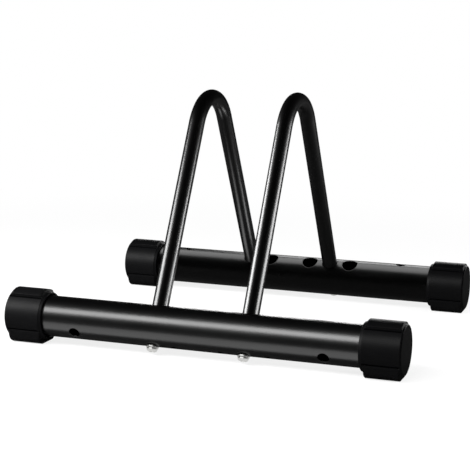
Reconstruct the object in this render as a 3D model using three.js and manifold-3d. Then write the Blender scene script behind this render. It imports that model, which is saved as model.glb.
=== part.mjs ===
// Floor rack for one bicycle wheel. Two round track tubes lie on the floor, side by side, in moulded
// end caps. Two bent hoops stand across them, and the wheel rolls into the slot between the hoops.
// Each hoop leg goes through a hole in the top of a track tube, down to the far wall, where a bolt and
// a washer from below draw it down by the threaded plug in the leg's end.
//
// Millimetres. X runs along the track tubes, Y from the front tube to the rear one, Z up.
// The origin is on the floor, under the middle of the rack.

import * as THREE from 'three';
import { mergeVertices } from 'three/addons/utils/BufferGeometryUtils.js';
import Module from 'manifold-3d';

const wasm = await Module();
wasm.setup();

// ---- Driving dimensions -------------------------------------------------------------------------

const clearance = 0.3; // between any two pieces that seat on or in each other

// Track tubes: the same part twice, turned about its own axis so that its leg holes face the hoops.
const trackDiameter = 40;
const trackWall = 1.5;
const trackLength = 390;
const trackSpacing = 284; // from the front tube's axis to the rear tube's
const crossHoleDiameter = 11;
const crossHoleInset = 70; // from the tube's end
const holePitch = 23;
const legHoleSteps = [-2, -1, 1, 2, 3]; // in pitches from the tube's middle

// Hoops
const hoopDiameter = 16;
const hoopWall = 1.5;
const hoopBendRadius = 45; // of the centre line
const hoopRise = 208; // from the track tubes' axes to the crown's centre line
const hoopSteps = { left: -2, right: 2 }; // the leg holes that the hoops stand in

// Threaded plugs in the legs, and the bolts and washers under the tubes
const plugLength = 12;
const boltDiameter = 6;
const boltLength = 16; // under the head
const boltHeadDiameter = 10.5;
const boltHeadHeight = 3.3;
const boltHeadRim = 0.7; // straight height of the head's edge, below its dome
const socketAcrossFlats = 4;
const socketDepth = 2;
const socketLand = 0.3; // flat left round the socket's corners, inside the head's dome
const washerDiameter = 12;
const washerThickness = 1.6;

// End caps
const capGrip = 36.5; // length of tube inside a cap
const capFloor = 2.7; // thickness of the closed end
const capWall = 3.7;
const capEndFillet = 2;
const capRimFillet = 1.2;
const capMouthChamfer = 1;
const padInset = 3; // from the cap's open rim to the pads
const padEndInset = 1.5; // from the cap's closed end to the pads
const padChamfer = 1.2;
const padRoot = 1.6; // how deep a pad's root lies inside the barrel's wall
const topPadThickness = 2;
const topPadHalfAngle = THREE.MathUtils.degToRad(32); // either side of straight up
const footThickness = 4.5;
const footHalfAngle = THREE.MathUtils.degToRad(58); // either side of straight down
const footLand = 2.5; // from the barrel down to the flat that stands on the floor

// Facets of a full turn
const trackSides = 48;
const hoopSides = 20;
const hoopBendSteps = 18;
const holeSides = 24;
const smallSides = 16;
const filletSteps = 2;
const padSteps = 5;

// ---- Sizes that follow --------------------------------------------------------------------------

const trackRadius = trackDiameter / 2;
const hoopRadius = hoopDiameter / 2;
const capBore = trackRadius + clearance;
const capRadius = capBore + capWall;
const capLength = capGrip + clearance + capFloor;
const capMouth = trackLength / 2 - capGrip; // distance of the open rim from the rack's middle
const axisHeight = capRadius + footLand;
const halfTrack = trackSpacing / 2;

// A leg is a tangent from the tube's axis to the crown's bend, so this is its lean from upright.
const bendCentreRise = hoopRise - hoopBendRadius;
const bendCentreDistance = Math.hypot(halfTrack, bendCentreRise);
const legLean = Math.atan2(halfTrack, bendCentreRise) - Math.asin(hoopBendRadius / bendCentreDistance);
const legLength = Math.sqrt(bendCentreDistance ** 2 - hoopBendRadius ** 2);

// A leg's square end comes to rest with its rim on the inside of the tube's round far wall.
const legDepth = Math.sqrt((trackRadius - trackWall) ** 2 - hoopRadius ** 2) - clearance;

// ---- Solids -------------------------------------------------------------------------------------

const X_AXIS = new THREE.Vector3(1, 0, 0);

/** A closed three.js geometry as a solid that can be joined and cut. */
function solidOf(geometry) {
  const bare = geometry.clone();
  bare.deleteAttribute('normal');
  bare.deleteAttribute('uv');
  const merged = mergeVertices(bare, 1e-4);
  const corners = merged.index.array;
  const triangles = [];
  for (let i = 0; i < corners.length; i += 3) {
    const [a, b, c] = corners.slice(i, i + 3);
    if (a !== b && b !== c && c !== a) triangles.push(a, b, c); // none is left folded on the axis
  }
  return new wasm.Manifold(
    new wasm.Mesh({
      numProp: 3,
      vertProperties: new Float32Array(merged.attributes.position.array),
      triVerts: new Uint32Array(triangles),
    }),
  );
}

/** A joined or cut solid back as a three.js geometry. */
function geometryOf(solid) {
  const mesh = solid.getMesh();
  const geometry = new THREE.BufferGeometry();
  geometry.setAttribute('position', new THREE.BufferAttribute(mesh.vertProperties, 3));
  geometry.setIndex(new THREE.BufferAttribute(mesh.triVerts, 1));
  geometry.computeVertexNormals();
  return geometry;
}

/** A round ring section, outer and inner radius. */
function ringShape(outer, inner) {
  const shape = new THREE.Shape().absarc(0, 0, outer, 0, 2 * Math.PI);
  shape.holes.push(new THREE.Path().absarc(0, 0, inner, 0, 2 * Math.PI, true));
  return shape;
}

/** A straight ring along +Z, from z = 0. */
function ringGeometry(outer, inner, length, sides) {
  return new THREE.ExtrudeGeometry(ringShape(outer, inner), {
    depth: length,
    bevelEnabled: false,
    curveSegments: sides / 2,
  });
}

/** A cutter for a hole in one wall of a track tube, `lean` from straight up towards +Y. */
function wallCutter(x, radius, lean) {
  const cylinder = new THREE.CylinderGeometry(radius, radius, trackDiameter, holeSides);
  cylinder.translate(0, trackDiameter / 2, 0);
  cylinder.rotateX(Math.PI / 2 - lean);
  return solidOf(cylinder.translate(x, 0, 0));
}

/** The points of an arc from angle `from` to angle `to` about (cx, cy). */
function arcPoints(cx, cy, radius, from, to, steps) {
  return Array.from({ length: steps + 1 }, (_, i) => {
    const angle = from + ((to - from) * i) / steps;
    return new THREE.Vector2(cx + radius * Math.cos(angle), cy + radius * Math.sin(angle));
  });
}

// ---- Track tubes --------------------------------------------------------------------------------

/** A track tube along X, its leg holes facing straight up. */
function trackTubeGeometry() {
  const blank = ringGeometry(trackRadius, trackRadius - trackWall, trackLength, trackSides);
  blank.rotateY(Math.PI / 2);
  blank.translate(-trackLength / 2, 0, 0);
  let tube = solidOf(blank);
  for (const step of legHoleSteps) {
    const x = step * holePitch;
    tube = tube.subtract(wallCutter(x, hoopRadius + clearance, 0));
    tube = tube.subtract(wallCutter(x, boltDiameter / 2 + clearance, Math.PI));
  }
  // The cross holes lean from the leg holes by as much as a leg leans: upright in the rear tube.
  for (const x of [crossHoleInset - trackLength / 2, trackLength / 2 - crossHoleInset]) {
    tube = tube.subtract(wallCutter(x, crossHoleDiameter / 2, legLean));
    tube = tube.subtract(wallCutter(x, crossHoleDiameter / 2, legLean + Math.PI));
  }
  return geometryOf(tube);
}

// ---- Hoops --------------------------------------------------------------------------------------

/** Centre line of a hoop in the YZ plane: leg, bend, leg, with one long step for each leg. */
class HoopLine extends THREE.Curve {
  getPoint(t) {
    const station = t * (hoopBendSteps + 2) - 1;
    const onBend = THREE.MathUtils.clamp(station, 0, hoopBendSteps);
    const halfBend = Math.PI / 2 - legLean;
    const angle = halfBend * ((2 * onBend) / hoopBendSteps - 1);
    const run = Math.abs(station - onBend) * (legLength + legDepth);
    return new THREE.Vector3(
      0,
      hoopBendRadius * Math.sin(angle) + run * Math.sin(legLean) * Math.sign(angle),
      bendCentreRise + hoopBendRadius * Math.cos(angle) - run * Math.cos(legLean),
    );
  }

  // The stations are where they are wanted, so they aren't spread evenly along the length.
  getUtoTmapping(u) {
    return u;
  }
}

/** A hoop of round tube, open at both leg ends, standing on the tubes' axes at z = 0. */
function hoopGeometry() {
  return new THREE.ExtrudeGeometry(ringShape(hoopRadius, hoopRadius - hoopWall), {
    extrudePath: new HoopLine(),
    steps: hoopBendSteps + 2,
    curveSegments: hoopSides / 2,
    bevelEnabled: false,
  });
}

// ---- Plugs, washers and bolts, along the leg's axis: z = 0 on the tube's axis, the leg above ------

/** Threaded plug, flush with the leg's end. */
function plugGeometry() {
  const radius = hoopRadius - hoopWall - clearance;
  const plug = ringGeometry(radius, boltDiameter / 2 + clearance, plugLength, smallSides);
  return plug.translate(0, 0, -legDepth);
}

const washerTop = -(trackRadius + clearance);
const headTop = washerTop - washerThickness - clearance;

/** Flat washer under the tube. */
function washerGeometry() {
  const washer = ringGeometry(washerDiameter / 2, boltDiameter / 2 + clearance, washerThickness, smallSides);
  return washer.translate(0, 0, washerTop - washerThickness);
}

/** Button-head bolt, its shank up into the plug and its hexagon socket open below. */
function boltGeometry() {
  const headRadius = boltHeadDiameter / 2;
  const shankRadius = boltDiameter / 2;
  const socketRadius = socketAcrossFlats / Math.sqrt(3);
  const crownRadius = socketRadius + socketLand;
  const rimBottom = headTop - boltHeadRim;
  const headBottom = headTop - boltHeadHeight;
  const dome = Array.from({ length: filletSteps + 1 }, (_, i) => {
    const angle = (Math.PI / 2) * (i / filletSteps);
    return new THREE.Vector2(
      crownRadius + (headRadius - crownRadius) * Math.sin(angle),
      rimBottom + (headBottom - rimBottom) * Math.cos(angle),
    );
  });
  const profile = [
    new THREE.Vector2(0, headBottom),
    ...dome,
    new THREE.Vector2(headRadius, headTop),
    new THREE.Vector2(shankRadius, headTop),
    new THREE.Vector2(shankRadius, headTop + boltLength),
    new THREE.Vector2(0, headTop + boltLength),
  ];
  const blank = new THREE.LatheGeometry(profile, smallSides).rotateX(Math.PI / 2);
  const socket = new THREE.CylinderGeometry(socketRadius, socketRadius, 2 * socketDepth, 6);
  socket.rotateX(Math.PI / 2);
  socket.translate(0, 0, headBottom);
  return geometryOf(solidOf(blank).subtract(solidOf(socket)));
}

// ---- End caps -----------------------------------------------------------------------------------

/** The cap's round body about X, its open rim at x = 0 and its closed end at x = capLength. */
function capBarrelGeometry() {
  const rimCentre = [capRadius - capRimFillet, capRimFillet];
  const endCentre = [capRadius - capEndFillet, capLength - capEndFillet];
  const profile = [
    new THREE.Vector2(0, capLength - capFloor),
    new THREE.Vector2(capBore, capLength - capFloor),
    new THREE.Vector2(capBore, capMouthChamfer),
    new THREE.Vector2(capBore + capMouthChamfer, 0),
    ...arcPoints(...rimCentre, capRimFillet, -Math.PI / 2, 0, filletSteps),
    ...arcPoints(...endCentre, capEndFillet, 0, Math.PI / 2, filletSteps),
    new THREE.Vector2(0, capLength),
  ];
  return new THREE.LatheGeometry(profile, trackSides).rotateZ(-Math.PI / 2);
}

/** A raised pad along the barrel, from its outline as seen along X, with chamfered ends. */
function padGeometry(outline) {
  const length = capLength - padInset - padEndInset;
  const pad = new THREE.ExtrudeGeometry(outline, {
    depth: length - 2 * padChamfer,
    bevelEnabled: true,
    bevelThickness: padChamfer,
    bevelSize: padChamfer,
    bevelOffset: -padChamfer,
    bevelSegments: 1,
  });
  pad.rotateY(Math.PI / 2);
  pad.rotateX(Math.PI / 2);
  return pad.translate(padInset + padChamfer, 0, 0);
}

/** Outline of the top pad: a band of the barrel's outside, made thicker. */
function topPadOutline() {
  const from = Math.PI / 2 - topPadHalfAngle;
  const to = Math.PI / 2 + topPadHalfAngle;
  return new THREE.Shape([
    ...arcPoints(0, 0, capRadius + topPadThickness, from, to, padSteps),
    ...arcPoints(0, 0, capRadius - padRoot, to, from, padSteps),
  ]);
}

/** Outline of the foot: a thicker band round the barrel's underside, cut flat to stand on. */
function footOutline() {
  const radius = capRadius + footThickness;
  const flatHalfAngle = Math.acos((capRadius + footLand) / radius);
  const down = -Math.PI / 2;
  const from = down - footHalfAngle;
  const to = down + footHalfAngle;
  return new THREE.Shape([
    ...arcPoints(0, 0, radius, from, down - flatHalfAngle, padSteps),
    ...arcPoints(0, 0, radius, down + flatHalfAngle, to, padSteps),
    ...arcPoints(0, 0, capRadius - padRoot, to, from, 2 * padSteps),
  ]);
}

/** A whole cap for the +X end of a tube, on the tube's axis. */
function capGeometry() {
  const body = solidOf(capBarrelGeometry());
  const cap = body.add(solidOf(padGeometry(topPadOutline()))).add(solidOf(padGeometry(footOutline())));
  return geometryOf(cap).translate(capMouth, 0, 0);
}

// ---- Materials ----------------------------------------------------------------------------------

const blackPaint = new THREE.MeshStandardMaterial({ color: 0x0c0c0d, roughness: 0.25, metalness: 0 });
const blackRubber = new THREE.MeshStandardMaterial({ color: 0x111112, roughness: 0.6, metalness: 0 });
const zincPlate = new THREE.MeshStandardMaterial({ color: 0xc9c9c4, roughness: 0.3, metalness: 1 });
const bareSteel = new THREE.MeshStandardMaterial({ color: 0x8a8a88, roughness: 0.45, metalness: 1 });

// ---- Assembly -----------------------------------------------------------------------------------

function piece(name, geometry, material, parent) {
  const mesh = new THREE.Mesh(geometry, material);
  mesh.name = name;
  parent.add(mesh);
  return mesh;
}

const rack = new THREE.Group();

const trackTube = trackTubeGeometry();
const cap = capGeometry();
const hoop = hoopGeometry();
const plug = plugGeometry();
const washer = washerGeometry();
const bolt = boltGeometry();

// Each row holds a track tube, its two caps and the fasteners of the legs that stand in it.
for (const [row, side] of [['front', -1], ['rear', 1]]) {
  const track = new THREE.Group();
  track.position.set(0, side * halfTrack, axisHeight);
  rack.add(track);

  piece(`${row}_left_cap`, cap, blackRubber, track).rotation.z = Math.PI;
  piece(`${row}_right_cap`, cap, blackRubber, track);

  const turned = new THREE.Group();
  turned.setRotationFromAxisAngle(X_AXIS, side * legLean);
  track.add(turned);
  piece(`${row}_tube`, trackTube, blackPaint, turned);

  for (const [hand, step] of Object.entries(hoopSteps)) {
    const leg = new THREE.Group();
    leg.position.x = step * holePitch;
    turned.add(leg);
    piece(`${row}_${hand}_leg_plug`, plug, bareSteel, leg);
    piece(`${row}_${hand}_washer`, washer, zincPlate, leg);
    piece(`${row}_${hand}_bolt`, bolt, zincPlate, leg);
  }
}

for (const [hand, step] of Object.entries(hoopSteps)) {
  piece(`${hand}_hoop`, hoop, blackPaint, rack).position.set(step * holePitch, 0, axisHeight);
}

export default rack;
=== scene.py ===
from math import acos, cos, pi, radians, sin, sqrt

import bmesh
import bpy
import numpy as np
from mathutils import Matrix, Vector


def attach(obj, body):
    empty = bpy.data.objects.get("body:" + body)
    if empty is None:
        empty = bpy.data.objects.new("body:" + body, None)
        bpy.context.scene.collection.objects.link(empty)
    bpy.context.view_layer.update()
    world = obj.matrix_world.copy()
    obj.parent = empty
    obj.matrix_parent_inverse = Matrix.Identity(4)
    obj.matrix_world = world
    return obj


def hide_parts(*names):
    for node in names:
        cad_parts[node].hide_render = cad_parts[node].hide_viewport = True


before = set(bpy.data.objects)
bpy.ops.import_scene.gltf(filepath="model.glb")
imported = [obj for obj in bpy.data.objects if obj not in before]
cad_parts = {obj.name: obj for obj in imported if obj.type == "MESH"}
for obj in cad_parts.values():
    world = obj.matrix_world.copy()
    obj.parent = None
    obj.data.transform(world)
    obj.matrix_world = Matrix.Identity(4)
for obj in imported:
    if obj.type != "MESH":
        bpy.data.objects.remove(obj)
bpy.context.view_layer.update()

# ---- Camera --------------------------------------------------------------------------------------
# The photograph's view: from the front right and a little above, through a long lens, so that the
# rack's two rows run almost level. The lens is worked out for a square picture.

VIEW_AZIMUTH = radians(19.91)
VIEW_ELEVATION = radians(10.22)
VIEW_ROLL = radians(0.5)
VIEW_DISTANCE = 1.4437
VIEW_TARGET = Vector((-0.0185, 0.0, 0.0931))
VIEW_LENS = 106.8  # mm, before a sensor this wide
SENSOR_WIDTH = 36.0

camera = bpy.data.objects.new("camera", bpy.data.cameras.new("camera"))
camera.data.sensor_width = SENSOR_WIDTH
camera.data.lens = VIEW_LENS
turn = (
    Matrix.Rotation(VIEW_AZIMUTH, 3, "Z")
    @ Matrix.Rotation(pi / 2 - VIEW_ELEVATION, 3, "X")
    @ Matrix.Rotation(VIEW_ROLL, 3, "Z")
)
camera.location = VIEW_TARGET + VIEW_DISTANCE * turn.col[2]
camera.rotation_euler = turn.to_euler()
bpy.context.scene.collection.objects.link(camera)
bpy.context.scene.camera = camera

# ---- Track tubes ---------------------------------------------------------------------------------
# Two 40 mm round steel tubes with a 1.5 mm wall, drilled and then powder coated, which rounds the
# holes' edges. Each has five leg holes in a row, a bolt hole opposite each, and two cross holes.

MM = 0.001
TUBE_RADIUS = 20 * MM
TUBE_BORE = 18.5 * MM
TUBE_LENGTH = 390 * MM
TUBE_SPACING = 284 * MM
AXIS_HEIGHT = 26.5 * MM
LEG_LEAN = radians(29.05)
HOLE_PITCH = 23 * MM
LEG_HOLE_STEPS = (-2, -1, 1, 2, 3)
LEG_HOLE_RADIUS = 8.3 * MM
BOLT_HOLE_RADIUS = 3.3 * MM
CROSS_HOLE_RADIUS = 5.5 * MM
CROSS_HOLE_INSET = 70 * MM
CROSS_CELL = 22 * MM  # length of tube that the mesh round a cross hole takes
OUTER_EDGE = 0.45 * MM  # radius of a hole's coated edge
INNER_EDGE = 0.2 * MM  # the same inside the tube
TURN = np.linspace(0, 2 * pi, 121)  # round a tube
SECTOR_STEPS = 30  # the mesh round a hole takes this much of the turn: a quarter
CELL_STEPS = 20
HOLE_ROWS = 11  # from a patch's border to its hole's edge
HOLE_CROWDING = 1.5  # the power that draws them closer together by the hole
EDGE_ROWS = 6  # over the quarter round of a hole's edge
WELD = 0.001 * MM  # points closer than this are one
SHARP = radians(35)  # a bend sharper than this keeps a crisp edge


class Signal:
    """An output in a node tree. Sums and products of signals add the Math nodes they need."""

    def __init__(self, tree, socket=None):
        self.tree = tree
        self.socket = socket

    def node(self, kind, settings, inputs, output=0):
        """Adds a node: its settings are set first, then the values or signals of its inputs."""
        made = self.tree.nodes.new(kind)
        for name, value in settings.items():
            setattr(made, name, value)
        for name, value in inputs.items():
            if isinstance(value, Signal):
                self.tree.links.new(value.socket, made.inputs[name])
            else:
                made.inputs[name].default_value = value
        return Signal(self.tree, made.outputs[output] if made.outputs else None)

    def math(self, operation, first, second):
        return self.node("ShaderNodeMath", {"operation": operation}, {0: first, 1: second})

    def __add__(self, other):
        return self.math("ADD", self, other)

    def __rsub__(self, other):
        return self.math("SUBTRACT", other, self)

    def __mul__(self, other):
        return self.math("MULTIPLY", self, other)

    __radd__ = __add__
    __rmul__ = __mul__

    def noise(self, size, detail=2.0):
        """Noise about 0.5 in blotches of this size, read at this position."""
        inputs = {"Vector": self, "Scale": 1 / size, "Detail": detail}
        return self.node("ShaderNodeTexNoise", {}, inputs)

    def bump(self, depth):
        """Normals for this signal as a height map that is `depth` deep from 0 to 1."""
        return self.node("ShaderNodeBump", {}, {"Height": self, "Distance": depth}, "Normal")


def empty_material(name):
    """A new material without nodes, and the object's own position as a signal in it."""
    material = bpy.data.materials.new(name)
    material.use_nodes = True
    material.node_tree.nodes.clear()
    place = Signal(material.node_tree).node("ShaderNodeTexCoord", {}, {}, "Object")
    return material, place


def surface(place, inputs):
    """Ends a material in one Principled surface."""
    skin = place.node("ShaderNodeBsdfPrincipled", {}, inputs)
    place.node("ShaderNodeOutputMaterial", {}, {"Surface": skin})


def powder_coat():
    """Glossy black coating: fine orange peel, and gloss that varies a little in clouds."""
    material, place = empty_material("black_powder_coat")
    peel = place.noise(1.6 * MM, 3.0)
    cloud = place.noise(45 * MM)
    surface(place, {
        "Base Color": (0.0006, 0.0006, 0.00065, 1),
        "Roughness": 0.25 + 0.08 * cloud,
        "Normal": peel.bump(0.006 * MM),
    })
    return material


def sew(name, grids, material, node):
    """Joins grids of points, each (rows, columns, 3), into one smooth closed skin for a CAD node.

    Quads run between neighbours in a grid, facing rows x columns, and edges that meet are welded.
    """
    quads = []
    start = 0
    for grid in grids:
        rows, columns = grid.shape[:2]
        at = start + np.arange(rows * columns).reshape(rows, columns)
        corners = (at[:-1, :-1], at[1:, :-1], at[1:, 1:], at[:-1, 1:])
        quads.append(np.stack(corners, -1).reshape(-1, 4))
        start += rows * columns
    mesh = bpy.data.meshes.new(name)
    points = np.concatenate([grid.reshape(-1, 3) for grid in grids])
    mesh.from_pydata(points, [], np.concatenate(quads))
    work = bmesh.new()
    work.from_mesh(mesh)
    bmesh.ops.remove_doubles(work, verts=work.verts, dist=WELD)
    work.to_mesh(mesh)
    work.free()
    mesh.shade_smooth()
    mesh.set_sharp_from_angle(angle=SHARP)
    mesh.materials.append(material)
    piece = bpy.data.objects.new(name, mesh)
    bpy.context.scene.collection.objects.link(piece)
    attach(piece, "root")
    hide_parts(node)
    return piece


def on_tube(x, angle, radius):
    """Points round the X axis, `angle` from up towards +Y."""
    x, angle, radius = np.broadcast_arrays(x, angle, radius)
    return np.stack([x, radius * np.sin(angle), radius * np.cos(angle)], -1)


def wall(x, angles):
    """Both faces of a stretch of tube wall, as grids over x and the angle."""
    outer = on_tube(x[:, None], angles, TUBE_RADIUS)
    inner = on_tube(x[:, None], angles, TUBE_BORE)
    return [outer, inner.transpose(1, 0, 2)]


def holed_wall(x, angles, hole_x, hole_angle, hole_radius):
    """Both faces of a patch of tube wall and the round hole through it, as one grid.

    Columns follow the patch's border once round, clockwise from outside. Rows go from the border in
    to the hole's edge, over the edge's quarter round, through the wall, and out again inside. A
    point by the hole is hole_radius from its axis and as high as the tube's circle is there.
    """
    right = x[::-1]
    down = angles[::-1]
    rim_x = np.concatenate([0 * angles[1:] + x[0], x[:-1], 0 * angles[1:] + x[-1], right])
    rim_angle = np.concatenate([angles[:-1], 0 * x[1:] + angles[-1], down[:-1], 0 * x + angles[0]])
    bearing = np.arctan2(TUBE_RADIUS * (rim_angle - hole_angle), rim_x - hole_x)

    def face(radius, edge, share):
        """Rows on the tube's face: share 0 at the hole's edge, 1 at the border, mixed between."""
        reach = hole_radius + edge
        near_x = hole_x + reach * np.cos(bearing)
        near_angle = hole_angle + np.arcsin(reach * np.sin(bearing) / radius)
        share = share[:, None]
        at_x = near_x + share * (rim_x - near_x)
        at_angle = near_angle + share * (rim_angle - near_angle)
        return on_tube(at_x, at_angle, radius)

    def round_over(radius, edge, slant, side):
        """Rows on the edge's quarter round: slant 0 on the tube's face, a right angle in the hole."""
        slant = slant[:, None]
        reach = hole_radius + edge * (1 - np.sin(slant))
        across = reach * np.sin(bearing)
        height = np.sqrt(radius**2 - across**2) - side * edge * (1 - np.cos(slant))
        y = across * cos(hole_angle) + height * sin(hole_angle)
        z = height * cos(hole_angle) - across * sin(hole_angle)
        return np.stack([hole_x + reach * np.cos(bearing), y, z], -1)

    closer = np.linspace(1, 0, HOLE_ROWS) ** HOLE_CROWDING
    slants = np.linspace(0, pi / 2, EDGE_ROWS)[1:]
    outer = [face(TUBE_RADIUS, OUTER_EDGE, closer), round_over(TUBE_RADIUS, OUTER_EDGE, slants, 1)]
    inner = [face(TUBE_BORE, INNER_EDGE, closer), round_over(TUBE_BORE, INNER_EDGE, slants, -1)]
    return np.concatenate([*outer, *(rows[::-1] for rows in inner[::-1])])


def track_tube():
    """All grids of a track tube along X, its leg holes facing up.

    A cell is a length of tube with a hole and the one opposite: its middle, its length, how far the
    holes lean from upright, and their two radii. Plain wall fills what lies between the cells.
    """
    leg_cell = (HOLE_PITCH, 0.0, LEG_HOLE_RADIUS, BOLT_HOLE_RADIUS)
    cross_cell = (CROSS_CELL, LEG_LEAN, CROSS_HOLE_RADIUS, CROSS_HOLE_RADIUS)
    cross_x = TUBE_LENGTH / 2 - CROSS_HOLE_INSET
    cells = [(step * HOLE_PITCH, *leg_cell) for step in LEG_HOLE_STEPS]
    cells += [(x, *cross_cell) for x in (-cross_x, cross_x)]
    grids = []
    reached = -TUBE_LENGTH / 2
    for x, length, lean, near, far in sorted(cells):
        if x - length / 2 - reached > WELD:
            grids += wall(np.linspace(reached, x - length / 2, CELL_STEPS), TURN)
        along = np.linspace(x - length / 2, x + length / 2, CELL_STEPS)
        first = round((lean - pi / 4) / TURN[1])  # each hole lies near the middle of its quarter
        for quarter, radius in enumerate((near, None, far, None)):
            steps = first + quarter * SECTOR_STEPS + np.arange(SECTOR_STEPS + 1)
            angles = steps * TURN[1]
            if radius is None:
                grids += wall(along, angles)
            else:
                grids.append(holed_wall(along, angles, x, lean + quarter * pi / 2, radius))
        reached = x + length / 2
    grids += wall(np.linspace(reached, TUBE_LENGTH / 2, CELL_STEPS), TURN)
    rim = np.array([TUBE_BORE, TUBE_RADIUS])[:, None]
    grids.append(on_tube(-TUBE_LENGTH / 2, TURN, rim))
    grids.append(on_tube(TUBE_LENGTH / 2, TURN, rim).transpose(1, 0, 2))
    return grids


def in_row(grid, side, x=0.0):
    """Turns a grid about X, from upright to the legs' lean, and moves it to its row and place."""
    lean = side * LEG_LEAN
    turned = grid @ np.array([[1, 0, 0], [0, cos(lean), sin(lean)], [0, -sin(lean), cos(lean)]])
    return turned + np.array([x, side * TUBE_SPACING / 2, AXIS_HEIGHT])


ROWS = {"front": -1, "rear": 1}
coating = powder_coat()
for row, side in ROWS.items():
    grids = [in_row(grid, side) for grid in track_tube()]
    sew(f"{row}_track_tube", grids, coating, f"{row}_tube")

# ---- Hoops ---------------------------------------------------------------------------------------
# Two hoops of 16 mm round steel tube, each bent once over a former to a round crown and coated like
# the track tubes. Their open legs stand in the leg holes, down to the tubes' far walls.

HOOP_RADIUS = 8 * MM
HOOP_BORE = 6.5 * MM
BEND_RADIUS = 45 * MM
BEND_RISE = 163 * MM  # from the track tubes' axes to the bend's centre
BEND_CENTRE = AXIS_HEIGHT + BEND_RISE
SEAT_GAP = 0.3 * MM
LEG_END = sqrt(TUBE_BORE**2 - HOOP_RADIUS**2) - SEAT_GAP  # below the track tube's axis
LEG_LENGTH = sqrt((TUBE_SPACING / 2) ** 2 + BEND_RISE**2 - BEND_RADIUS**2)  # down to that axis
LEG_STEPS = 24
BEND_STEPS = 64
HOOP_TURN = np.linspace(0, 2 * pi, 73)  # round a hoop's section
HOOP_STEPS = {"left": -2, "right": 2}  # the leg holes that each hoop stands in


def swept(x, run, angle, radius):
    """A round section carried along a hoop's centre line, which `run` measures from the crown.

    Round the bend the line turns by run / BEND_RADIUS, and beyond it goes straight on. The section's
    angle starts on the outside of the bend and turns towards +X.
    """
    turned = np.clip(run / BEND_RADIUS, LEG_LEAN - pi / 2, pi / 2 - LEG_LEAN)
    beyond = run - turned * BEND_RADIUS
    reach = BEND_RADIUS + radius * np.cos(angle)
    y = reach * np.sin(turned) + beyond * np.cos(turned)
    z = BEND_CENTRE + reach * np.cos(turned) - beyond * np.sin(turned)
    return np.stack(np.broadcast_arrays(x + radius * np.sin(angle), y, z), -1)


def hoop(x):
    """All grids of one hoop: outside, bore and the two leg ends."""
    half_bend = (pi / 2 - LEG_LEAN) * BEND_RADIUS
    leg = np.linspace(half_bend, half_bend + LEG_LENGTH + LEG_END, LEG_STEPS)
    bend = np.linspace(-half_bend, half_bend, BEND_STEPS)
    run = np.concatenate([-leg[:0:-1], bend, leg[1:]])
    end = np.array([HOOP_BORE, HOOP_RADIUS])[:, None]
    return [
        swept(x, run, HOOP_TURN[:, None], HOOP_RADIUS),
        swept(x, run[:, None], HOOP_TURN, HOOP_BORE),
        swept(x, run[-1], HOOP_TURN, end),
        swept(x, run[0], HOOP_TURN, end).transpose(1, 0, 2),
    ]


for hand, step in HOOP_STEPS.items():
    sew(f"{hand}_bent_hoop", hoop(step * HOLE_PITCH), coating, f"{hand}_hoop")

# ---- Washers -------------------------------------------------------------------------------------
# Four flat washers stamped from steel sheet and zinc plated, with rounded edges. They lie under the
# track tubes, square to the legs, and the bolts' heads clamp them there.

WASHER_RADIUS = 6 * MM
WASHER_BORE = 3.3 * MM
WASHER_TOP = -20.3 * MM  # on the leg's axis, from the track tube's axis
WASHER_THICKNESS = 1.6 * MM
WASHER_EDGE = 0.25 * MM
WASHER_TURN = np.linspace(0, 2 * pi, 73)


def zinc_plate():
    """Bright zinc plate: faint clouds and a fine tooth."""
    material, place = empty_material("zinc_plate")
    cloud = place.noise(3 * MM, 3.0)
    surface(place, {
        "Base Color": (0.80, 0.80, 0.78, 1),
        "Metallic": 1.0,
        "Roughness": 0.24 + 0.14 * cloud,
        "Normal": place.noise(0.3 * MM).bump(0.004 * MM),
    })
    return material


def arc(x, y, radius, start, end, steps=6):
    """Points of an arc about (x, y), its angles in degrees."""
    angle = np.radians(np.linspace(start, end, steps))
    return np.stack([x + radius * np.cos(angle), y + radius * np.sin(angle)], -1)


def lathe(profile, around):
    """A profile of (radius, height) points turned about Z. It runs down the outside."""
    radius, height = np.concatenate(profile).T[:, :, None]
    flat = np.broadcast_to(height, (len(height), len(around)))
    return np.stack([radius * np.cos(around), radius * np.sin(around), flat], -1)


def washer():
    """A ring whose four edges are rounded."""
    near = WASHER_BORE + WASHER_EDGE
    far = WASHER_RADIUS - WASHER_EDGE
    top = WASHER_TOP - WASHER_EDGE
    bottom = WASHER_TOP - WASHER_THICKNESS + WASHER_EDGE
    profile = [
        arc(near, top, WASHER_EDGE, 180, 90),
        arc(far, top, WASHER_EDGE, 90, 0),
        arc(far, bottom, WASHER_EDGE, 0, -90),
        arc(near, bottom, WASHER_EDGE, -90, -180),
    ]
    return lathe([*profile, profile[0][:1]], WASHER_TURN)


plating = zinc_plate()
for row, side in ROWS.items():
    for hand, step in HOOP_STEPS.items():
        grid = in_row(washer(), side, step * HOLE_PITCH)
        sew(f"{row}_{hand}_flat_washer", [grid], plating, f"{row}_{hand}_washer")

# ---- Bolts ---------------------------------------------------------------------------------------
# Four M6 x 16 button-head bolts with hexagon sockets, zinc plated. Their thread is rolled, and its
# upper half is in the plug at the leg's end.

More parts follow.
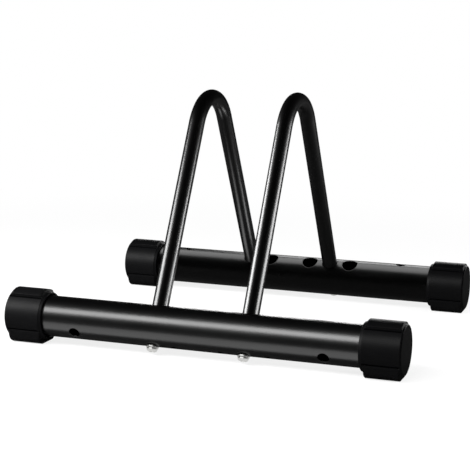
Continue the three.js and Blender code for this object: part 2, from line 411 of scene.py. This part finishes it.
THREAD_RADIUS = 3 * MM
THREAD_PITCH = 1 * MM
THREAD_DEPTH = 0.6 * MM
BOLT_LENGTH = 16 * MM
HEAD_RADIUS = 5.25 * MM
HEAD_HEIGHT = 3.3 * MM
HEAD_RIM = 0.7 * MM
HEAD_EDGE = 0.2 * MM  # round of the head's shoulder
HEAD_TOP = -22.2 * MM
SOCKET_FLATS = 4 * MM
SOCKET_DEPTH = 2 * MM
SOCKET_LEAD = 0.2 * MM  # bevel at the socket's mouth
SOCKET_LAND = 0.3 * MM  # flat left round the socket's corners, inside the head's dome
DRILL_SHARE = 0.9  # width of the drilled cone at the socket's bottom, of the socket's own
DRILL_DEPTH = 0.5 * MM
BOLT_TURN = np.linspace(0, 2 * pi, 97)
THREAD_STEPS = 193  # along the shank
DOME_STEPS = 14


def bolt():
    """Grids of a bolt along Z: the threaded shank, the head and the six-sided socket.

    The thread's radius is a cosine of height in pitches less the share of a turn, and it runs out
    into plain rod at both ends. The head is a quarter of an ellipse turned round.
    """
    tip = HEAD_TOP + BOLT_LENGTH
    height = np.linspace(tip, HEAD_TOP, THREAD_STEPS)[:, None]
    into = np.clip(np.minimum(tip - height, height - HEAD_TOP) / THREAD_PITCH, 0, 1)
    wave = 0.5 - 0.5 * np.cos(2 * pi * (height / THREAD_PITCH - BOLT_TURN / (2 * pi)))
    end_taper = THREAD_DEPTH * np.clip(1 - (tip - height) / THREAD_DEPTH, 0, 1)
    radius = THREAD_RADIUS - THREAD_DEPTH * wave * into - end_taper
    thread = (radius * np.cos(BOLT_TURN), radius * np.sin(BOLT_TURN), height)
    shank = np.stack(np.broadcast_arrays(*thread), -1)

    rim = HEAD_TOP - HEAD_RIM
    crown = SOCKET_FLATS / sqrt(3) + SOCKET_LAND
    bottom = HEAD_TOP - HEAD_HEIGHT
    sweep = np.radians(np.linspace(0, 90, DOME_STEPS))
    dome = np.stack([
        crown + (HEAD_RADIUS - crown) * np.cos(sweep),
        rim - (rim - bottom) * np.sin(sweep),
    ], -1)
    top = np.array([[THREAD_RADIUS, HEAD_TOP]])
    shoulder = arc(HEAD_RADIUS - HEAD_EDGE, HEAD_TOP - HEAD_EDGE, HEAD_EDGE, 90, 0, 4)
    head = lathe([top, shoulder, dome], BOLT_TURN)

    flat = SOCKET_FLATS / 2 / np.cos(BOLT_TURN % (pi / 3) - pi / 6)
    ring = np.stack([np.cos(BOLT_TURN), np.sin(BOLT_TURN), 0 * BOLT_TURN], -1)
    lift = np.array([0, 0, 1])
    floor = bottom + SOCKET_DEPTH
    socket = np.stack([
        crown * ring + bottom * lift,
        (flat + SOCKET_LEAD / 2)[:, None] * ring + bottom * lift,
        flat[:, None] * ring + (bottom + SOCKET_LEAD) * lift,
        flat[:, None] * ring + floor * lift,
        SOCKET_FLATS / 2 * DRILL_SHARE * ring + floor * lift,
        0 * ring + (floor + DRILL_DEPTH) * lift,
    ])
    start = lathe([np.array([[0, tip], [THREAD_RADIUS - THREAD_DEPTH, tip]])], BOLT_TURN)
    return [start, shank, head, socket]


for row, side in ROWS.items():
    for hand, step in HOOP_STEPS.items():
        grids = [in_row(grid, side, step * HOLE_PITCH) for grid in bolt()]
        sew(f"{row}_{hand}_button_bolt", grids, plating, f"{row}_{hand}_bolt")

# ---- Leg plugs -----------------------------------------------------------------------------------
# Four steel plugs, turned, threaded for the bolts and fixed in the legs' ends. They are out of sight,
# so they keep the mesh of their CAD solids and get only a material here.

RING_PITCH = 0.25 * MM
WAVE_PHASE = 20  # a wave texture's phase grows by this for each unit of scale and height


def turned_steel(row, side):
    """Plain steel with the fine rings that a lathe tool leaves, square to this row's legs."""
    material, place = empty_material(f"{row}_turned_steel")
    lean = {"Vector": place, "Angle": -side * LEG_LEAN}
    upright = place.node("ShaderNodeVectorRotate", {"rotation_type": "X_AXIS"}, lean)
    wave = {"Vector": upright, "Scale": 2 * pi / WAVE_PHASE / RING_PITCH}
    rings = place.node("ShaderNodeTexWave", {"bands_direction": "Z"}, wave)
    surface(place, {
        "Base Color": (0.45, 0.45, 0.44, 1),
        "Metallic": 1.0,
        "Roughness": 0.35 + 0.15 * place.noise(2 * MM),
        "Normal": rings.bump(0.01 * MM),
    })
    return material


for row, side in ROWS.items():
    steel = turned_steel(row, side)
    for hand in HOOP_STEPS:
        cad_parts[f"{row}_{hand}_leg_plug"].material_slots[0].material = steel

# ---- End caps ------------------------------------------------------------------------------------
# Four caps moulded in black rubber and pressed over the track tubes' ends. Each has a raised pad on
# top and a thicker foot round its underside, cut flat where it stands on the floor.

CAP_MOUTH = 158.5 * MM  # from the rack's middle
CAP_LENGTH = 39.5 * MM
CAP_RADIUS = 24 * MM
CAP_BORE = 20.3 * MM
CAP_FLOOR = 2.7 * MM
CAP_END_ROUND = 2 * MM
CAP_CHAMFER = 1 * MM
LIP_LENGTH = 2.8 * MM  # narrower ring round the mouth
LIP_ROUND = 0.8 * MM
LIP_STEP = 0.35 * MM
LIP_TAPER = 0.7 * MM
LIP_ARC = (180, 106)  # degrees of its round, from the rim to where the taper starts
LIP_FACE = 0.1 * MM  # length of the step from the lip up to the barrel
PAD_SPAN = (3 * MM, 38 * MM)  # from the open rim
PAD_SLOPE = 1.4 * MM  # length of the pads' end slopes
TOP_PAD_HEIGHT = 2 * MM
TOP_PAD_HALF = radians(32)
TOP_PAD_STEP = radians(2.4)  # width of its side walls
FOOT_HEIGHT = 4.5 * MM
FOOT_EDGE = 0.5 * MM  # the foot's height at its sides, from where it swells over this angle
FOOT_SWELL = radians(24)
FOOT_HALF = radians(58)
FOOT_STEP = radians(3.2)
TOP_GROOVE_WIDTH = radians(5)  # of the moulded grooves beside the pads
FOOT_GROOVE_WIDTH = radians(6)
GROOVE_DEPTH = 2.6 * MM
GROOVE_WALLS = 5  # each side wall takes one part in this of a groove's width
LIP_STEPS = 8
SLOPE_STEPS = 15  # along the pads' slope by the mouth
PAD_STEPS = 14  # along their level length
END_SLOPE_STEPS = 10  # along their other slope, up to the end's round
END_ROUND_STEPS = 18
DISC_STEPS = 7
SIDE_STEPS = 41  # across a pad's side wall and groove
SIDE_MARGIN = 1.2  # widths of the side wall that those steps start inside the pad's edge


def rubber():
    """Black moulded rubber: fine spark-eroded grain and a faint bloom."""
    material, place = empty_material("cap_rubber")
    bloom = place.noise(18 * MM, 3.0)
    surface(place, {
        "Base Color": (0.0025, 0.0025, 0.0027, 1),
        "Roughness": 0.36 + 0.12 * bloom,
        "Specular IOR Level": 0.042,
        "Normal": place.noise(0.35 * MM, 3.0).bump(0.02 * MM),
    })
    return material


def rise(t):
    """0 up to t = 0, 1 from t = 1, and a smooth S between."""
    t = np.clip(t, 0, 1)
    return t * t * (3 - 2 * t)


def groove(beyond, width):
    """Depth `beyond` a pad's edge by this angle: the full depth times an S at each side wall."""
    into = GROOVE_WALLS * beyond / width
    return GROOVE_DEPTH * rise(into) * rise(GROOVE_WALLS - into)


def pad_height(along, angle):
    """How far the pads stand off the barrel, less their grooves, `angle` from straight up.

    A pad's height is its full height times an S at each side and at each end. The foot's full height
    swells from its sides and stops at the floor, AXIS_HEIGHT / cos of the angle from straight down.
    """
    window = rise((along - PAD_SPAN[0]) / PAD_SLOPE) * rise((PAD_SPAN[1] - along) / PAD_SLOPE)
    from_top = np.abs((angle + pi) % (2 * pi) - pi)
    from_bottom = pi - from_top
    swell = FOOT_EDGE + (FOOT_HEIGHT - FOOT_EDGE) * rise((FOOT_HALF - from_bottom) / FOOT_SWELL)
    to_floor = AXIS_HEIGHT / np.maximum(np.cos(from_bottom), cos(FOOT_HALF))
    foot_radius = np.minimum(CAP_RADIUS + swell, to_floor)
    top = TOP_PAD_HEIGHT * rise((TOP_PAD_HALF - from_top) / TOP_PAD_STEP)
    foot = (foot_radius - CAP_RADIUS) * rise((FOOT_HALF - from_bottom) / FOOT_STEP)
    top_grooves = groove(from_top - TOP_PAD_HALF, TOP_GROOVE_WIDTH)
    foot_grooves = groove(from_bottom - FOOT_HALF, FOOT_GROOVE_WIDTH)
    return window * (top + foot - (top_grooves + foot_grooves))


def cap():
    """The cap for the +X end, as one grid: a profile turned about X, with the pads added."""
    chamfer = np.array([[CAP_CHAMFER, CAP_BORE], [0, CAP_BORE + CAP_CHAMFER]])
    inside = np.array([[CAP_LENGTH - CAP_FLOOR, 0], [CAP_LENGTH - CAP_FLOOR, CAP_BORE]])
    mouth = CAP_RADIUS - LIP_STEP - LIP_TAPER
    lip = np.array([[LIP_LENGTH, CAP_RADIUS - LIP_STEP], [LIP_LENGTH + LIP_FACE, CAP_RADIUS]])
    rim = arc(LIP_ROUND, mouth - LIP_ROUND, LIP_ROUND, *LIP_ARC, LIP_STEPS)
    round_x = CAP_LENGTH - CAP_END_ROUND
    round_radius = CAP_RADIUS - CAP_END_ROUND
    end = arc(round_x, round_radius, CAP_END_ROUND, 90, 0, END_ROUND_STEPS)
    first, last = PAD_SPAN
    along = np.concatenate([
        np.linspace(first, first + PAD_SLOPE, SLOPE_STEPS),
        np.linspace(first + PAD_SLOPE, last - PAD_SLOPE, PAD_STEPS)[1:],
        np.linspace(last - PAD_SLOPE, round_x, END_SLOPE_STEPS)[1:-1],
    ])
    barrel = np.stack([along, 0 * along + CAP_RADIUS], -1)
    inward = np.linspace(round_radius, 0, DISC_STEPS)[1:]
    disc = np.stack([0 * inward + CAP_LENGTH, inward], -1)
    outside = np.concatenate([rim, lip, barrel, end, disc])
    x, radius = np.concatenate([inside, chamfer, outside]).T[:, :, None]
    edges = []  # columns close together across each pad's side walls and grooves
    pads = (
        (0, TOP_PAD_HALF, TOP_PAD_STEP, TOP_GROOVE_WIDTH),
        (pi, FOOT_HALF, FOOT_STEP, FOOT_GROOVE_WIDTH),
    )
    for middle, half, step, width in pads:
        for way in (-1, 1):
            across = np.linspace(-SIDE_MARGIN * step, width + step, SIDE_STEPS)
            edges.append(middle + way * (half + across))
    flat = acos(AXIS_HEIGHT / (CAP_RADIUS + FOOT_HEIGHT))
    angle = np.concatenate([TURN[:-1], *edges, [pi - flat, pi + flat]]) % (2 * pi)
    angle = np.unique(np.round(angle, 5))
    angle = np.append(angle, angle[0] + 2 * pi)
    outer = (np.arange(len(x)) >= len(inside) + len(chamfer))[:, None]
    radius = radius + outer * pad_height(x, angle)
    return on_tube(CAP_MOUTH + x, angle, radius)


moulding = rubber()
for row, side in ROWS.items():
    for hand, way in (("left", -1), ("right", 1)):  # a left cap is a right one turned half round
        placed = cap() * np.array([way, way, 1]) + np.array([0, side * TUBE_SPACING / 2, AXIS_HEIGHT])
        sew(f"{row}_{hand}_end_cap", [placed], moulding, f"{row}_{hand}_cap")

# ---- Floor, background and lamps -----------------------------------------------------------------
# A plain pale floor that runs into a white background, and large soft lamps. The black paint mirrors
# a dark studio, as in the photograph, so reflections show the floor and background almost dark, and
# each lamp lights the pieces whose streaks it makes.

FLOOR_REACH = 60.0  # metres
FLOOR_DROP = 0.2 * MM
FLOOR_TONE = 0.9
MIRRORED_TONE = 0.05  # the floor's tone in reflections
SEEN_GLOW = 0.8  # how much of the floor's white is its own glow by the rack; lamps light the rest
MIRRORED_GLOW = 0.015  # glow of the floor and of the background in reflections
LIT_RADIUS = (0.3, 1.0)  # where the lamps' light fades out and the glow takes over
ON_FLOOR = 1 * MM  # height of a lamp that lies on the floor

bpy.context.scene.view_settings.view_transform = "Standard"


def ray(start, *kinds):
    """1 on rays of these kinds and 0 on the others."""
    total = 0.0
    for kind in kinds:
        total = start.node("ShaderNodeLightPath", {}, {}, f"Is {kind} Ray") + total
    return total.math("MINIMUM", total, 1.0)


def ramp(value, start, end):
    """A smooth S from 0 at `start` to 1 at `end`."""
    limits = {"Value": value, "From Min": start, "From Max": end}
    return value.node("ShaderNodeMapRange", {"interpolation_type": "SMOOTHSTEP"}, limits)


def white_floor():
    """White where it is seen, less the rack's soft shadow, and almost dark in reflections."""
    material, place = empty_material("floor")
    glow = place.node("ShaderNodeEmission", {}, {"Color": (1, 1, 1, 1)})
    distance = place.node("ShaderNodeVectorMath", {"operation": "LENGTH"}, {0: place}, "Value")
    seen = ray(place, "Camera")
    mirrored = ray(place, "Glossy", "Transmission") * (1 - seen)
    tone = FLOOR_TONE - (FLOOR_TONE - MIRRORED_TONE) * mirrored
    matte = place.node("ShaderNodeBsdfDiffuse", {}, {"Color": tone})
    own = SEEN_GLOW + (1 - SEEN_GLOW) * ramp(distance, *LIT_RADIUS)
    share = own * seen + MIRRORED_GLOW * mirrored
    mixed = place.node("ShaderNodeMixShader", {}, {0: share, 1: matte, 2: glow})
    place.node("ShaderNodeOutputMaterial", {}, {"Surface": mixed})
    return material


mesh = bpy.data.meshes.new("floor")
corners = [(-1, -1), (1, -1), (1, 1), (-1, 1)]
points = [(x * FLOOR_REACH, y * FLOOR_REACH, -FLOOR_DROP) for x, y in corners]
mesh.from_pydata(points, [], [(0, 1, 2, 3)])
mesh.materials.append(white_floor())
floor = bpy.data.objects.new("floor", mesh)
bpy.context.scene.collection.objects.link(floor)

world = bpy.data.worlds.new("studio")
bpy.context.scene.world = world
world.use_nodes = True
world.node_tree.nodes.clear()
sky = Signal(world.node_tree)
seen = ray(sky, "Camera")
mirrored = ray(sky, "Glossy", "Transmission") * (1 - seen)
glow = seen + MIRRORED_GLOW * mirrored
back = sky.node("ShaderNodeBackground", {}, {"Color": (1, 1, 1, 1), "Strength": glow})
sky.node("ShaderNodeOutputWorld", {}, {"Surface": back})


def soft_lamp(name, place, aim, width, height, radiance, pieces=(), state="EXCLUDE"):
    """A rectangular soft box at `place` that faces `aim`, as bright as this all over.

    It leaves out these pieces, or lights only them where `state` is INCLUDE.
    """
    lamp = bpy.data.lights.new(name, "AREA")
    lamp.shape = "RECTANGLE"
    lamp.size = width
    lamp.size_y = height
    lamp.energy = radiance * pi * width * height
    box = bpy.data.objects.new(name, lamp)
    box.location = place
    box.rotation_euler = (Vector(place) - Vector(aim)).to_track_quat("Z", "Y").to_euler()
    box.visible_camera = False
    bpy.context.scene.collection.objects.link(box)
    if pieces:
        group = bpy.data.collections.new(f"{name}_{state}")
        for piece in pieces:
            group.objects.link(bpy.data.objects[piece])
        for member in group.collection_objects:
            member.light_linking.link_state = state
        box.light_linking.receiver_collection = group
    return box


TUBES = ["front_track_tube", "rear_track_tube"]
HOOPS = ["left_bent_hoop", "right_bent_hoop"]
CAPS = [f"{row}_{hand}_end_cap" for row in ROWS for hand in HOOP_STEPS]
FIXINGS = [
    f"{row}_{hand}_{part}"
    for row in ROWS
    for hand in HOOP_STEPS
    for part in ("flat_washer", "button_bolt")
]

# The broad streak along the front tube, and the light on the caps.
soft_lamp(
    "key", place=(-0.62, -1.029, 0.977), aim=(-0.62, -TUBE_SPACING / 2, AXIS_HEIGHT),
    width=1.6, height=0.58, radiance=12.0, pieces=[TUBES[1], *HOOPS, *FIXINGS],
)
# Streaks down the hoops' left edges. The right hoop has its own lamp.
soft_lamp(
    "left", place=(-0.57, -0.35, 0.36), aim=(0.0, -0.1, 0.1),
    width=0.48, height=0.26, radiance=20.0, pieces=[*TUBES, HOOPS[1], *FIXINGS],
)
soft_lamp(
    "left_far", place=(-0.62, -0.22, 0.365), aim=(0.0, -0.1, 0.1),
    width=0.56, height=0.26, radiance=25.0, pieces=HOOPS[1:], state="INCLUDE",
)
# Streaks down their right edges.
soft_lamp(
    "right", place=(0.78, 0.07, 0.15), aim=(0.0, -0.1, 0.1),
    width=0.6, height=0.26, radiance=20.0, pieces=[*TUBES, HOOPS[1], *CAPS, *FIXINGS],
)
soft_lamp(
    "right_far", place=(0.78, 0.12, 0.2), aim=(0.0, -0.1, 0.1),
    width=0.6, height=0.26, radiance=17.0, pieces=HOOPS[1:], state="INCLUDE",
)
# The pale band on the rear tube's upper half.
soft_lamp(
    "top", place=(-0.35, 0.36, 1.0), aim=(-0.35, TUBE_SPACING / 2, AXIS_HEIGHT),
    width=1.5, height=0.85, radiance=3.2, pieces=TUBES[1:], state="INCLUDE",
)
# Light for the sides that the photograph doesn't show.
soft_lamp(
    "back", place=(0.35, 1.2, 0.8), aim=(0.2, TUBE_SPACING / 2, AXIS_HEIGHT),
    width=1.8, height=0.45, radiance=4.0, pieces=TUBES[1:], state="INCLUDE",
)
soft_lamp(
    "back_low", place=(0.3, 1.4, 0.36), aim=(0.0, 0.0, 0.05),
    width=2.2, height=0.3, radiance=6.0, pieces=[TUBES[1], *HOOPS],
)
# The lower streak along the front tube, from a strip on the floor.
soft_lamp(
    "low", place=(-0.05, -0.192, ON_FLOOR), aim=(-0.05, -0.192, 1.0),
    width=1.2, height=0.05, radiance=1.9, pieces=[TUBES[1], *CAPS, *FIXINGS],
)
# White ground for the zinc to mirror.
soft_lamp(
    "white_below", place=(0.0, 0.0, ON_FLOOR), aim=(0.0, 0.0, 1.0),
    width=4.0, height=4.0, radiance=0.6, pieces=FIXINGS, state="INCLUDE",
)
soft_lamp(
    "white_front", place=(-0.5, -2.0, 1.0), aim=(0.0, 0.0, 0.4),
    width=3.0, height=2.0, radiance=1.2, pieces=FIXINGS, state="INCLUDE",
)
# Two faint streaks down the left hoop's rear leg.
soft_lamp(
    "inner", place=(-0.085, 0.045, ON_FLOOR), aim=(-0.085, 0.045, 1.0),
    width=0.05, height=0.13, radiance=2.4, pieces=HOOPS[:1], state="INCLUDE",
)
soft_lamp(
    "outer", place=(0.1, 0.118, ON_FLOOR), aim=(0.1, 0.118, 1.0),
    width=0.14, height=0.06, radiance=5.5, pieces=HOOPS[:1], state="INCLUDE",
)
